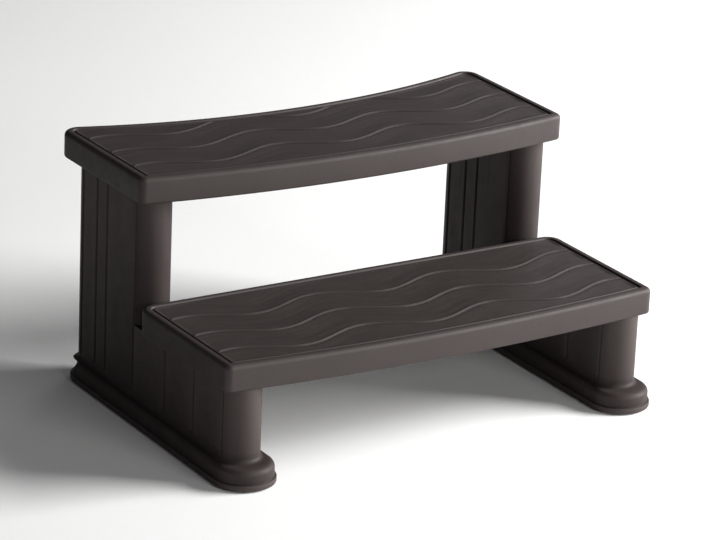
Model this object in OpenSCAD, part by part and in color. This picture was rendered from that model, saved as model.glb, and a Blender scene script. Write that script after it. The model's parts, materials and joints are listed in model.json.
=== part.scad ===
// Two-step stair for a round spa tub.
// Two hollow side panels with round posts and a flared foot carry two hollow treads.
// X runs along the treads, Y from front to back, Z up. The origin is at the middle of the floor footprint.

/* [Treads] */
// Length of both treads, end to end
tread_l = 813; // [740:1:860]
// Thickness of both treads
tread_t = 45; // [42:1:50]
// Height of the lower tread's top above the floor
lower_top = 206; // [190:1:215]
// Height of the upper tread's top above the floor
upper_top = 424; // [400:1:450]
// Lower tread, from the line of its front corners to its back edge
lower_depth = 294; // [285:1:297]
// How far the lower tread's front edge bows out
lower_bow = 23; // [10:1:30]
// Upper tread, from the line of its front corners to the line of its back corners
upper_depth = 296; // [285:1:300]
// How far the upper tread's front edge bows out
upper_bow = 37; // [20:1:45]
// How far the upper tread's back edge is hollowed to follow a round tub
upper_hollow = 71; // [50:1:85]
// How far the upper tread's front corners stand behind the lower tread's
upper_setback = 287; // [284:1:295]

/* [Tread edges and top] */
// Plan radius of the front corners
front_corner_r = 13; // [11:1:18]
// Plan radius of the back corners
back_corner_r = 27; // [20:1:32]
// Rounding along the top edge
top_round = 8; // [5:1:9]
// Rounding along the bottom edge
bottom_round = 4; // [2:1:5]
// Width of the smooth rim round the top
rim_w = 14; // [11:1:18]
// Width of the groove inside the rim
rim_groove_w = 5; // [3:1:7]
// Depth of the groove inside the rim
rim_groove_d = 3; // [2:0.5:3]
// Height of the wavy ridges, and depth of the field that they stand in
ridge_h = 1.4; // [0.8:0.1:1.6]
// Length of one wave of a ridge
wave_l = 242; // [200:1:280]
// Half the height of a ridge's wave, seen from above
wave_a = 18; // [10:1:22]

/* [Side panels] */
// Distance from the middle of the object to the middle of a side panel
panel_x = 361.5; // [350:0.5:362]
// Radius of the posts, which is half the panel's thickness
post_r = 33.5; // [32:0.5:34]
// Half the width of the foot, at its floor band
foot_half = 53; // [51:1:55]
// How far the foot reaches in front of the lower tread's front corners
foot_reach = 36; // [32:1:40]
// Width of the grooves between planks
plank_groove_w = 6; // [4:0.5:7]
// Depth of the grooves between planks
plank_groove_d = 3; // [2:0.5:3.5]
// Wall thickness of all four hollow mouldings
wall = 3.5; // [3:0.1:4]

/* [Fasteners] */
// Nominal diameter of the screws
screw_d = 6; // [6:0.5:6.5]
// Outer diameter of the threaded inserts
insert_d = 9.7; // [9.2:0.1:10]
// How far the rubber pads stand out below the foot
pad_proud = 2; // [1:0.5:2.5]

/* [Hidden] */
$fn = 48;
big_fn = 360;
eps = 0.5;
round_steps = 5;
corner_steps = 6;
edge_steps = 16;
wave_steps = 64;

plastic = "#3d3634";
rubber = "#1b1b1b";
steel = "#a8a8a8";
brass = "#b8963e";

// Radius of the arc of a chord of length l with rise s
function arc_r(l, s) = l * l / (8 * s) + s / 2;

// One tread: [depth, bow, hollow, height of the top, Y of its front corners]
lower = [lower_depth, lower_bow, 0, lower_top, 0];
upper = [upper_depth, upper_bow, upper_hollow, upper_top, upper_setback];
function t_depth(t) = t[0];
function t_bow(t) = t[1];
function t_hollow(t) = t[2];
function t_top(t) = t[3];
function t_y(t) = t[4];
function t_under(t) = t[3] - tread_t;

// Smallest plan radius that an inset leaves at a corner
least_corner_r = 3;

// Arcs of a tread's front and back edge: radius, and Y of the centre
function front_r(t) = arc_r(tread_l, t_bow(t));
function front_c(t) = front_r(t) - t_bow(t);
function back_r(t) = arc_r(tread_l, t_hollow(t));
function back_c(t) = t_depth(t) - t_hollow(t) + back_r(t);

// Y of the front and back edge at x
function front_y(t, x) = front_c(t) - sqrt(pow(front_r(t), 2) - x * x);
function back_y(t, x) = t_hollow(t) == 0 ? t_depth(t) : back_c(t) - sqrt(pow(back_r(t), 2) - x * x);

// Corner radius left after an inset, and the corner circles' centres
function corner_r(r, inset) = max(r - inset, least_corner_r);
function corner_x(r, inset) = tread_l / 2 - inset - corner_r(r, inset);
function front_corner_y(t, inset) =
    let (r = corner_r(front_corner_r, inset))
    front_c(t) - sqrt(pow(front_r(t) - inset - r, 2) - pow(corner_x(front_corner_r, inset), 2));
function back_corner_y(t, inset) =
    let (r = corner_r(back_corner_r, inset))
    t_hollow(t) == 0
        ? t_depth(t) - inset - r
        : back_c(t) - sqrt(pow(back_r(t) + inset + r, 2) - pow(corner_x(back_corner_r, inset), 2));

// Direction from a corner circle's centre to the point where it meets the front or back edge
function front_turn(t, inset) =
    atan2(front_corner_y(t, inset) - front_c(t), corner_x(front_corner_r, inset));
function back_turn(t, inset) =
    t_hollow(t) == 0 ? 90 : atan2(back_c(t) - back_corner_y(t, inset), -corner_x(back_corner_r, inset));

// The footprint runs from the foot's front to the upper tread's back corners
back_end = t_y(upper) + back_corner_y(upper, 0) + back_corner_r;
y_shift = (foot_reach - back_end) / 2;

// Post centres, from front to back; the front post leads the lower tread's front corners a little
post_lead = 2;
front_post_y = post_r - post_lead;
middle_post_y = 333;
rear_post_y = 504;
foot_rear = 544;

// Middles of the foot's round ends
foot_front_c = -foot_reach + foot_half;
foot_rear_c = foot_rear - foot_half;

// Plank grooves of the low front and of the tall rear of a panel
low_grooves = [front_post_y - 1, 124, 218];
tall_grooves = [middle_post_y - 8, 420, 455, rear_post_y];

// Foot profile: floor band, body, rounded shoulder, and the flare into the posts
band_h = 12;
band_step = 3.5;
band_edge = 2;
shoulder_r = 10;
foot_top = 36;
flare_r = 8;

// Wavy ridges: number, places of their middle lines, width, and the gap left at their ends
ridge_rows = 3;
ridge_first = 51;
ridge_pitch = 76.5;
ridge_w = 5;
ridge_end_gap = 4;

// Joint between a panel and a tread
tenon_h = 10;
tenon_half = 20;
tenon_gap = 0.4;
tenon_ends = [[70, 242], [372, 480]];
screw_ys = [[160, 248], [397, 479]];
pocket_w = 30;
pocket_h = 40;
pocket_past_middle = 10;
pocket_roof = 10;
washer_t = 1.6;
washer_r = 7;
head_h = 3.6;
head_r = 5.4;
insert_l = 16;
insert_neck = 0.6;
boss_wall = 5;
drill_past = 4;
screw_l = 34;
screw_clear_r = screw_d / 2 + 0.4;

// Foot pads and vent plugs
pad_t = 4;
pad_l = 84;
pad_w = 56;
pad_ys = [52, 264, 458];
pad_stem_r = 4;
pad_stem_l = 8;
pad_stem_off = 24;
floor_wall = 6;
vent_r = 6;
vent_head_r = 10;
vent_head_h = 1.6;
vent_stem_h = 9;
vent_fit = 0.05;
vent_head_fit = 0.3;
vent_barb = 0.6;
vent_barb_h = 1.2;
vent_wall = 1.6;
panel_vent_y = 158;

// Hollows under a tread, where its bottom skin reaches up to its top skin
dimple_l = 74;
dimple_w = 28;
dimple_wall = 3;
dimple_xs = [for (i = [-2.5:1:2.5]) i * 104];
dimple_rows = [0.31, 0.69];

// ---- helpers ----

// Puts a piece in the object's frame; Y is counted from the lower tread's front corners inside
module place() {
    translate([0, y_shift, 0]) children();
}

// Puts a piece of a side panel on the left or the right, with its inner face towards the middle
module on_side(side) {
    if (side == "left") translate([-panel_x, 0, 0]) children();
    else translate([panel_x, 0, 0]) mirror([1, 0, 0]) children();
}

// A slot-shaped outline along Y
module capsule(y1, y2, r) {
    translate([-r, y1]) square([2 * r, y2 - y1]);
    translate([0, y1]) circle(r);
    translate([0, y2]) circle(r);
}

// A profile carried round a capsule; x in the profile is the distance from its middle line
module carry_round(y1, y2) {
    translate([0, y1, 0]) rotate([0, 0, 180]) rotate_extrude(angle = 180, $fn = 96) children();
    translate([0, y2, 0]) rotate_extrude(angle = 180, $fn = 96) children();
    translate([0, y2, 0]) rotate([90, 0, 0]) linear_extrude(y2 - y1) {
        children();
        mirror([1, 0]) children();
    }
}

// Points of an arc, from one direction to another
function arc(cx, cy, r, from, to, n) = [for (i = [0:n]) let (a = from + (to - from) * i / n)
    [cx + r * cos(a), cy + r * sin(a)]];

// ---- treads ----

// Right half of a tread's outline, moved in by inset, from the middle of the front to the middle of the back
function half_outline(t, inset) =
    let (
        xf = corner_x(front_corner_r, inset),
        xb = corner_x(back_corner_r, inset),
        yf = front_corner_y(t, inset),
        yb = back_corner_y(t, inset),
        af = front_turn(t, inset),
        ab = back_turn(t, inset),
        front = arc(0, front_c(t), front_r(t) - inset, -90, af, edge_steps),
        back = t_hollow(t) == 0
            ? [[0, t_depth(t) - inset], [0, 0]]
            : arc(0, back_c(t), back_r(t) + inset, -90, ab - 180, edge_steps)
    )
    concat(
        [for (i = [0:edge_steps - 1]) front[i]],
        arc(xf, yf, corner_r(front_corner_r, inset), af, 0, corner_steps),
        arc(xb, yb, corner_r(back_corner_r, inset), 0, ab, corner_steps),
        [for (i = [len(back) - 2:-1:0]) back[i]]
    );

module tread_plan(t, inset) {
    right = half_outline(t, inset);
    last = len(right) - 1;
    polygon(concat(right, [for (i = [last - 1:-1:1]) [-right[i][0], right[i][1]]]));
}

// Rounded edge of a tread as seen in section, from the underside up; x = 0 is the edge
edge_section = concat(
    arc(-bottom_round, bottom_round, bottom_round, -90, 0, round_steps),
    arc(-top_round, tread_t - top_round, top_round, 0, 90, round_steps)
);

// Section of the solid that ends w inside the edge, and of the waste that reaches w outside it
module solid_section(w) {
    polygon(concat(edge_section, [[-w, tread_t], [-w, 0]]));
}

module waste_section(w) {
    polygon(concat(
        [[-bottom_round, -1]], edge_section,
        [[-top_round, tread_t + 1], [w, tread_t + 1], [w, -1]]
    ));
}

// Takes the corner of radius r round centre [x, y] off, between two directions.
// The corner stands out by a hair, so that it crosses the edges beside it cleanly.
module corner_waste(x, y, r, from, to) {
    poke = 0.05;
    translate([x + poke, y, 0]) rotate([0, 0, from])
        rotate_extrude(angle = to - from) translate([r, 0]) waste_section(r);
}

// Outside of a tread: a disc's rounded front edge, two rounded ends, the back edge and the corners
module tread_body(t) {
    reach = t_depth(t) + 200;
    difference() {
        intersection() {
            translate([0, front_c(t), 0]) rotate_extrude($fn = big_fn)
                translate([front_r(t), 0]) solid_section(front_r(t));
            translate([0, reach - 100, 0]) rotate([90, 0, 0]) linear_extrude(reach) {
                translate([tread_l / 2, 0]) solid_section(tread_l / 2);
                mirror([1, 0]) translate([tread_l / 2, 0]) solid_section(tread_l / 2);
            }
            if (t_hollow(t) == 0) translate([-tread_l, t_depth(t), 0]) rotate([90, 0, 90])
                linear_extrude(2 * tread_l) solid_section(reach);
        }
        if (t_hollow(t) > 0) translate([0, back_c(t), 0]) rotate_extrude($fn = big_fn)
            translate([back_r(t), 0]) mirror([1, 0]) waste_section(back_r(t));
        for (s = [0, 1]) mirror([s, 0, 0]) {
            corner_waste(corner_x(front_corner_r, 0), front_corner_y(t, 0), front_corner_r,
                         front_turn(t, 0), 0);
            corner_waste(corner_x(back_corner_r, 0), back_corner_y(t, 0), back_corner_r,
                         0, back_turn(t, 0));
        }
    }
}

// One wavy ridge, as a band round a sine line
module wave_band(y) {
    x_end = tread_l / 2 - rim_w - rim_groove_w - ridge_end_gap;
    xs = [for (i = [0:wave_steps]) -x_end + 2 * x_end * i / wave_steps];
    function mid(x) = y - wave_a * cos(360 * x / wave_l);
    polygon(concat(
        [for (x = xs) [x, mid(x) - ridge_w / 2]],
        [for (i = [wave_steps:-1:0]) [xs[i], mid(xs[i]) + ridge_w / 2]]
    ));
}

// Where the panel's tenon and its screws meet tread i
module joint_plan(i, grow) {
    for (side = ["left", "right"]) on_side(side)
        capsule(tenon_ends[i][0], tenon_ends[i][1], tenon_half + grow);
}

module screw_spots(i) {
    for (side = ["left", "right"]) on_side(side)
        for (y = screw_ys[i]) translate([0, y]) children();
}

// The hollows under tread t, grown by grow
module dimple_plan(t, grow) {
    for (x = dimple_xs, f = dimple_rows) {
        y = front_y(t, x) + f * (back_y(t, x) - front_y(t, x));
        translate([x, y]) rotate(90) capsule(-dimple_l / 2 + dimple_w / 2, dimple_l / 2 - dimple_w / 2,
                                             dimple_w / 2 + grow);
    }
}

function vent_spot(t) = [0, (front_y(t, 0) + back_y(t, 0)) / 2];

// A hollow tread, with its underside at z = 0; i is 0 for the lower and 1 for the upper
module tread(t, i) {
    groove_z = tread_t - rim_groove_d;
    field_z = tread_t - ridge_h;
    field_inset = rim_w + rim_groove_w;
    roof_z = groove_z - wall;
    difference() {
        union() {
            difference() {
                tread_body(t);
                translate([0, 0, groove_z]) linear_extrude(rim_groove_d + 1) tread_plan(t, rim_w);
            }
            translate([0, 0, groove_z - 1]) linear_extrude(field_z - groove_z + 1) tread_plan(t, field_inset);
            translate([0, 0, field_z - 1]) linear_extrude(ridge_h + 1) intersection() {
                tread_plan(t, field_inset + ridge_end_gap);
                union() for (k = [0:ridge_rows - 1]) wave_band(ridge_first + ridge_pitch * k);
            }
        }
        // the blown hollow, with walls left round every socket, boss and dimple
        translate([0, 0, wall]) linear_extrude(roof_z - wall) difference() {
            tread_plan(t, wall + 1); // a little more than the wall, because the edges are rounded
            dimple_plan(t, dimple_wall);
            translate([0, -t_y(t)]) joint_plan(i, tenon_gap + wall);
        }
        translate([0, -t_y(t), tenon_h + 2 * tenon_gap + wall])
            linear_extrude(roof_z - tenon_h - 2 * tenon_gap - wall) difference() {
                joint_plan(i, tenon_gap);
                screw_spots(i) circle(insert_d / 2 + boss_wall);
            }
        // dimples, tenon sockets, insert holes, vent hole
        translate([0, 0, -eps]) linear_extrude(roof_z - wall / 2 + eps) dimple_plan(t, 0);
        translate([0, -t_y(t), -eps]) linear_extrude(tenon_h + tenon_gap + eps) joint_plan(i, tenon_gap);
        translate([0, -t_y(t), tenon_h]) linear_extrude(tenon_gap + insert_l) screw_spots(i)
            circle(insert_d / 2);
        translate([0, -t_y(t), tenon_h]) linear_extrude(insert_l + drill_past) screw_spots(i)
            circle(screw_clear_r);
        translate([vent_spot(t)[0], vent_spot(t)[1], -eps]) cylinder(r = vent_r, h = wall + 2 * eps);
        translate([vent_spot(t)[0], vent_spot(t)[1], -eps]) cylinder(r = vent_head_r, h = vent_head_h + eps);
    }
}

module lower_tread() {
    color(plastic) place() translate([0, t_y(lower), t_under(lower)]) tread(lower, 0);
}

module upper_tread() {
    color(plastic) place() translate([0, t_y(upper), t_under(upper)]) tread(upper, 1);
}

// ---- side panels ----

// Outside of the foot, as a profile from its middle line
module foot_profile() {
    body = foot_half - band_step;
    polygon(concat(
        [[0, pad_proud], [foot_half - band_edge, pad_proud], [foot_half, pad_proud + band_edge],
         [foot_half, band_h - band_edge], [foot_half - band_edge, band_h], [body, band_h]],
        arc(body - shoulder_r, foot_top - shoulder_r, shoulder_r, 0, 90, 6),
        [[0, foot_top]]
    ));
}

// Concave flare from the top of the foot into the posts
module flare_profile() {
    polygon(concat(
        [[0, foot_top - 1], [post_r + flare_r, foot_top - 1]],
        arc(post_r + flare_r, foot_top + flare_r, flare_r, -90, -180, 6),
        [[0, foot_top + flare_r]]
    ));
}

// Solid outside of a panel, with its tenons
module panel_body() {
    carry_round(foot_front_c, foot_rear_c) foot_profile();
    intersection() {
        carry_round(front_post_y, rear_post_y) flare_profile();
        linear_extrude(foot_top + flare_r) capsule(foot_front_c, foot_rear_c, foot_half - band_step - 1);
    }
    translate([0, 0, foot_top - 1]) linear_extrude(t_under(lower) - foot_top + 1)
        capsule(front_post_y, rear_post_y, post_r);
    translate([0, 0, foot_top - 1]) linear_extrude(t_under(upper) - foot_top + 1)
        capsule(middle_post_y, rear_post_y, post_r);
    for (i = [0, 1])
        translate([0, 0, (i == 0 ? t_under(lower) : t_under(upper)) - 1]) linear_extrude(tenon_h + 1)
            capsule(tenon_ends[i][0], tenon_ends[i][1], tenon_half);
}

// Grooves in both faces at the Y positions ys, from the flare up to z_top
module plank_grooves(ys, z_top, w, d) {
    for (y = ys, s = [-1, 1])
        translate([s * post_r, y, foot_top + flare_r + z_top / 2])
            cube([2 * d, w, z_top], center = true);
}

// Room that one screw pocket takes, grown by grow; the inner face is at +X
module pocket_room(z_roof, grow) {
    translate([-pocket_past_middle - grow, -pocket_w / 2 - grow, z_roof - pocket_h - grow])
        cube([post_r + pocket_past_middle + 2 * grow, pocket_w + 2 * grow, pocket_h + 2 * grow]);
}

// The blown hollow of a panel
module panel_hollow() {
    floor_z = pad_proud + floor_wall;
    difference() {
        union() {
            translate([0, 0, floor_z]) linear_extrude(foot_top - wall - shoulder_r / 2 - floor_z)
                capsule(foot_front_c, foot_rear_c, foot_half - band_step - wall);
            translate([0, 0, floor_z]) linear_extrude(t_under(lower) - wall - floor_z)
                capsule(front_post_y, rear_post_y, post_r - wall);
            translate([0, 0, floor_z]) linear_extrude(t_under(upper) - wall - floor_z)
                capsule(middle_post_y, rear_post_y, post_r - wall);
        }
        // ribs behind the plank grooves, so that the wall keeps its thickness
        plank_grooves(low_grooves, t_under(lower), plank_groove_w + 2 * wall, plank_groove_d + wall);
        plank_grooves(tall_grooves, t_under(upper), plank_groove_w + 2 * wall, plank_groove_d + wall);
        // solid columns above the screw pockets, and walls round them
        for (i = [0, 1], y = screw_ys[i]) {
            z_roof = t_under(i == 0 ? lower : upper) - pocket_roof;
            translate([0, y, 0]) pocket_room(z_roof, wall);
            translate([-screw_clear_r * 4, y - pocket_w / 2 - wall, z_roof])
                cube([post_r + screw_clear_r * 4, pocket_w + 2 * wall, pocket_roof + 1]);
        }
        // bosses for the pads' stems
        for (y = pad_ys, s = [-1, 1]) translate([0, y + s * pad_stem_off, floor_z - 1])
            cylinder(r = pad_stem_r + wall, h = pad_stem_l - 2 + wall);
    }
}

module side_panel() {
    difference() {
        panel_body();
        panel_hollow();
        plank_grooves(low_grooves, t_under(lower), plank_groove_w, plank_groove_d);
        plank_grooves(tall_grooves, t_under(upper), plank_groove_w, plank_groove_d);
        for (i = [0, 1], y = screw_ys[i]) {
            z_roof = t_under(i == 0 ? lower : upper) - pocket_roof;
            translate([0, y, 0]) pocket_room(z_roof, 0);
            translate([0, y, z_roof - eps]) cylinder(r = screw_clear_r, h = pocket_roof + tenon_h + 2 * eps);
        }
        for (y = pad_ys) translate([0, y, 0]) {
            translate([0, 0, pad_proud - 2]) linear_extrude(pad_t - pad_proud + 2)
                capsule(-(pad_l - pad_w) / 2, (pad_l - pad_w) / 2, pad_w / 2 + 0.4);
            for (s = [-1, 1]) translate([0, s * pad_stem_off, pad_t - eps])
                cylinder(r = pad_stem_r, h = pad_stem_l + eps);
        }
        translate([0, panel_vent_y, pad_proud - eps]) cylinder(r = vent_r, h = floor_wall + 2 * eps);
        translate([0, panel_vent_y, pad_proud - eps]) cylinder(r = vent_head_r, h = vent_head_h + eps);
    }
}

module left_side_panel() {
    color(plastic) place() on_side("left") side_panel();
}

module right_side_panel() {
    color(plastic) place() on_side("right") side_panel();
}

// ---- fasteners ----

// Repeats a fastener at both screws of joint i on one side, with z = 0 at the pocket's roof
module at_screws(i, side) {
    z_roof = t_under(i == 0 ? lower : upper) - pocket_roof;
    place() on_side(side) for (y = screw_ys[i]) translate([0, y, z_roof]) children();
}

// Button-head screw with a hexagon socket
module screw() {
    difference() {
        union() {
            translate([0, 0, -washer_t]) cylinder(d = screw_d, h = screw_l);
            translate([0, 0, -washer_t]) mirror([0, 0, 1]) rotate_extrude() polygon([
                [0, 0], [head_r, 0], [head_r, head_h * 0.35], [head_r * 0.86, head_h * 0.72],
                [head_r * 0.6, head_h * 0.95], [head_r * 0.5, head_h], [0, head_h]
            ]);
        }
        translate([0, 0, -washer_t - head_h - eps]) cylinder(r = screw_d * 0.37, h = 2.5, $fn = 6);
    }
}

module washer() {
    translate([0, 0, -washer_t]) difference() {
        cylinder(r = washer_r, h = washer_t);
        translate([0, 0, -eps]) cylinder(r = screw_d / 2 + 0.2, h = washer_t + 2 * eps);
    }
}

// Knurl-banded insert: three lands with two necks between them
module insert() {
    land = insert_l / 5;
    translate([0, 0, pocket_roof + tenon_h + tenon_gap]) difference() {
        union() {
            cylinder(r = insert_d / 2 - insert_neck, h = insert_l);
            for (k = [0, 2, 4]) translate([0, 0, k * land]) cylinder(d = insert_d, h = land);
        }
        translate([0, 0, -eps]) cylinder(r = screw_d / 2 + 0.05, h = insert_l + 2 * eps);
    }
}

module lower_left_screws() { color(steel) at_screws(0, "left") screw(); }
module lower_right_screws() { color(steel) at_screws(0, "right") screw(); }
module upper_left_screws() { color(steel) at_screws(1, "left") screw(); }
module upper_right_screws() { color(steel) at_screws(1, "right") screw(); }
module lower_left_washers() { color(steel) at_screws(0, "left") washer(); }
module lower_right_washers() { color(steel) at_screws(0, "right") washer(); }
module upper_left_washers() { color(steel) at_screws(1, "left") washer(); }
module upper_right_washers() { color(steel) at_screws(1, "right") washer(); }
module lower_left_inserts() { color(brass) at_screws(0, "left") insert(); }
module lower_right_inserts() { color(brass) at_screws(0, "right") insert(); }
module upper_left_inserts() { color(brass) at_screws(1, "left") insert(); }
module upper_right_inserts() { color(brass) at_screws(1, "right") insert(); }

// ---- vent plugs ----

// Push-in plug; z = 0 is the outer skin that it closes, and it points up
module vent_plug() {
    difference() {
        union() {
            cylinder(r = vent_head_r - vent_head_fit, h = vent_head_h);
            cylinder(r = vent_r - vent_fit, h = vent_stem_h);
            translate([0, 0, floor_wall + vent_fit]) cylinder(r = vent_r + vent_barb, h = vent_barb_h);
        }
        translate([0, 0, vent_head_h + 1]) cylinder(r = vent_r - vent_wall, h = vent_stem_h);
    }
}

module left_panel_vent_plug() {
    color(rubber) place() on_side("left") translate([0, panel_vent_y, pad_proud]) vent_plug();
}

module right_panel_vent_plug() {
    color(rubber) place() on_side("right") translate([0, panel_vent_y, pad_proud]) vent_plug();
}

module tread_vent_plug(t) {
    color(rubber) place() translate([vent_spot(t)[0], t_y(t) + vent_spot(t)[1], t_under(t)]) vent_plug();
}

module lower_tread_vent_plug() { tread_vent_plug(lower); }
module upper_tread_vent_plug() { tread_vent_plug(upper); }

// ---- foot pads ----

module foot_pad() {
    difference() {
        linear_extrude(pad_t) capsule(-(pad_l - pad_w) / 2, (pad_l - pad_w) / 2, pad_w / 2);
        // grip channels across the sole
        for (k = [-3:3]) translate([0, k * 10, 0]) cube([pad_w, 2.4, 1.6], center = true);
    }
    for (s = [-1, 1]) translate([0, s * pad_stem_off, pad_t - eps])
        cylinder(r = pad_stem_r - 0.05, h = pad_stem_l - 0.5 + eps);
}

module pad_at(side, i) {
    color(rubber) place() on_side(side) translate([0, pad_ys[i], 0]) foot_pad();
}

module left_front_foot_pad() { pad_at("left", 0); }
module left_middle_foot_pad() { pad_at("left", 1); }
module left_rear_foot_pad() { pad_at("left", 2); }
module right_front_foot_pad() { pad_at("right", 0); }
module right_middle_foot_pad() { pad_at("right", 1); }
module right_rear_foot_pad() { pad_at("right", 2); }

// ---- output ----

left_side_panel();
right_side_panel();
lower_tread();
upper_tread();
lower_left_screws();
lower_right_screws();
upper_left_screws();
upper_right_screws();
lower_left_washers();
lower_right_washers();
upper_left_washers();
upper_right_washers();
lower_left_inserts();
lower_right_inserts();
upper_left_inserts();
upper_right_inserts();
left_panel_vent_plug();
right_panel_vent_plug();
lower_tread_vent_plug();
upper_tread_vent_plug();
left_front_foot_pad();
left_middle_foot_pad();
left_rear_foot_pad();
right_front_foot_pad();
right_middle_foot_pad();
right_rear_foot_pad();
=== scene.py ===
"""Looks of the two-step spa stair, in metres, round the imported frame.

Two treads and two side panels are detailed meshes that stand for their CAD nodes. The screws, washers,
inserts, vent plugs and foot pads are the CAD nodes themselves with procedural materials.
"""

import json
import math

import bmesh
import bpy
import numpy as np
from mathutils import Matrix, Vector, noise


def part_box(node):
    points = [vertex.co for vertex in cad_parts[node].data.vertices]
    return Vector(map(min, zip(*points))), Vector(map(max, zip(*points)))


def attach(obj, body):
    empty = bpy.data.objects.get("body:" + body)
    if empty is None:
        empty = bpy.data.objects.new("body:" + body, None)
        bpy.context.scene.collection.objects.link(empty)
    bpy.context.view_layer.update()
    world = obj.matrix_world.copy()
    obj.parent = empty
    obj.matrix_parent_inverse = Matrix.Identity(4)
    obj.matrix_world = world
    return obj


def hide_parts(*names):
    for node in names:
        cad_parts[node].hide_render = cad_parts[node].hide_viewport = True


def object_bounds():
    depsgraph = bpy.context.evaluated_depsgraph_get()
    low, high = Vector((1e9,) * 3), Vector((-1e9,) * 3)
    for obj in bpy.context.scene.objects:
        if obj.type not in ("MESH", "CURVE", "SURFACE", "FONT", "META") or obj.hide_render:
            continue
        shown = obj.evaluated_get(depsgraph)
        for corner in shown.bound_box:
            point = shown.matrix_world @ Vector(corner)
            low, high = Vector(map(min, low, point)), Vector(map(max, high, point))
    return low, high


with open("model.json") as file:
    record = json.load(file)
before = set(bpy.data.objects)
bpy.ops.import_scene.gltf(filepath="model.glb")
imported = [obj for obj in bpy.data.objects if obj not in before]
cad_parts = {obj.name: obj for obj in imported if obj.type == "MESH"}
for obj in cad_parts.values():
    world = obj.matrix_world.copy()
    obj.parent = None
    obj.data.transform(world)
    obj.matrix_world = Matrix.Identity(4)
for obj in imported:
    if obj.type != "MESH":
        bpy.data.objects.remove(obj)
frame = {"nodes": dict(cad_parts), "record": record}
cad_low, cad_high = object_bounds()

MM = 0.001

# ---- sizes that the frame's boxes don't give ----

# treads: rise of the front arc, hollow of the back arc, and depth between the lines of the corners
LOWER_BOW, LOWER_HOLLOW, LOWER_DEPTH = 23 * MM, 0.0, 294 * MM
UPPER_BOW, UPPER_HOLLOW, UPPER_DEPTH = 37 * MM, 71 * MM, 296 * MM
FRONT_CORNER_R = 13 * MM
BACK_CORNER_R = 27 * MM
LEAST_CORNER_R = 3 * MM
TOP_ROUND = 8 * MM
BOTTOM_ROUND = 4 * MM
RIM_W = 14 * MM
RIM_GROOVE_W = 5 * MM
RIM_GROOVE_D = 3 * MM

# how the rim groove is rounded, as (inset past a wall, height over a level) in millimetres
FIELD_EDGE = ((0.9, 0.0), (0.2, -0.2))
GROOVE_FIELD_SIDE = ((-0.5, 0.5), (-1.3, 0.05))
GROOVE_RIM_SIDE = ((1.3, 0.0), (0.5, 0.6), (0.0, 1.6))
RIM_EDGE = ((-0.3, -0.6), (-1.1, -0.1), (-2.0, 0.0))

# wavy ridges of the tread tops
WAVE_L = 242 * MM
WAVE_A = 18 * MM
RIDGE_ROWS = 3
RIDGE_FIRST = 51 * MM
RIDGE_STEP = 76.5 * MM
RIDGE_H = 1.4 * MM
RIDGE_W = 2.2 * MM
RIDGE_FULLNESS = 2.5
RIDGE_FADE = 5 * MM

# a valley in front of each ridge, and the cupping between two ridges
VALLEY_D = 1.1 * MM
VALLEY_W = 2.0 * MM
VALLEY_OFF = 4.2 * MM
CUP_D = 1.1 * MM

# streaks: two noises, with their scales along and across the waves
STREAK_H = 0.28 * MM
BROAD_STREAK = (5, 90)
FINE_STREAK = (9, 230)
FINE_STREAK_SHARE = 0.5
FINE_STREAK_SLICE = 4.2
BROAD_SLICE_PER_METRE = 10

# points of a tread's mesh: half its width, round a corner, and from front to back
ACROSS_STEPS, CORNER_STEPS, DEPTH_STEPS = 120, 8, 190

# side panels: the Y positions are measured from the line of the lower tread's front corners
POST_R = 33.5 * MM
FRONT_POST, MIDDLE_POST, REAR_POST = 31.5 * MM, 333 * MM, 504 * MM
LOW_GROOVES = (30.5 * MM, 124 * MM, 218 * MM)
TALL_GROOVES = (325 * MM, 420 * MM, 455 * MM, 504 * MM)
GROOVE_HALF_W = 3.6 * MM
GROOVE_D = 3 * MM
GROOVE_FULLNESS = 0.6

# foot: the band along the floor, the shoulder over it, and the flare up to the posts. The band's edges are
# rounded over BAND_EDGE and cut in by BAND_EDGE_MIDDLE at their middle. The end and start are in degrees.
FOOT_LENGTH = 580 * MM
FOOT_HALF = 53 * MM
FOOT_REACH = 36 * MM
FOOT_TOP = 36 * MM
SOLE_Z = 2 * MM
BAND_H = 12 * MM
BAND_STEP = 3.5 * MM
BAND_EDGE, BAND_EDGE_MIDDLE = 2 * MM, 0.6 * MM
STEP_ROUND = ((0.6 * MM, 0.1 * MM), (0.0, 0.9 * MM))
SHOULDER_R = 10 * MM
SHOULDER_END = 78
SHOULDER_FROM = BAND_H + 2 * MM
FLARE_R = 8 * MM
FLARE_START = -86
FLARE_INSIDE = 1 * MM

# points of a panel's outline: round a quarter of a post, across half a groove, and along the flat faces
POST_STEPS = 12
GROOVE_STEPS = 6
GROOVE_CLEAR = 1.15
LOW_STEP, LOW_ROWS = 18 * MM, 16
TALL_STEP, TALL_ROWS = 14 * MM, 12
LEVEL_STEPS = 7

# where the grooves begin over the flare: (height in millimetres, share of their depth)
GROOVE_START = ((2, 0.12), (4, 0.5), (6, 0.85), (8, 1.0))

# joints between panels and treads
TENON_R = 20 * MM
TENON_H = 10 * MM
TENON_GAP = 0.4 * MM
TENON_ROOT = 2 * MM
TENON_CHAMFER = 1 * MM
LOWER_TENON, UPPER_TENON = (70 * MM, 242 * MM), (372 * MM, 480 * MM)
LOWER_SCREWS, UPPER_SCREWS = (160 * MM, 248 * MM), (397 * MM, 479 * MM)
INSERT_R = 4.85 * MM
INSERT_L = 16 * MM
SCREW_HOLE_R = 3.4 * MM
POCKET_W = 30 * MM
POCKET_H = 40 * MM
POCKET_ROOF = 10 * MM
POCKET_ROUND = 3 * MM
POCKET_PAST_MIDDLE = 10 * MM
POCKET_PAST_FACE = 8 * MM

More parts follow.
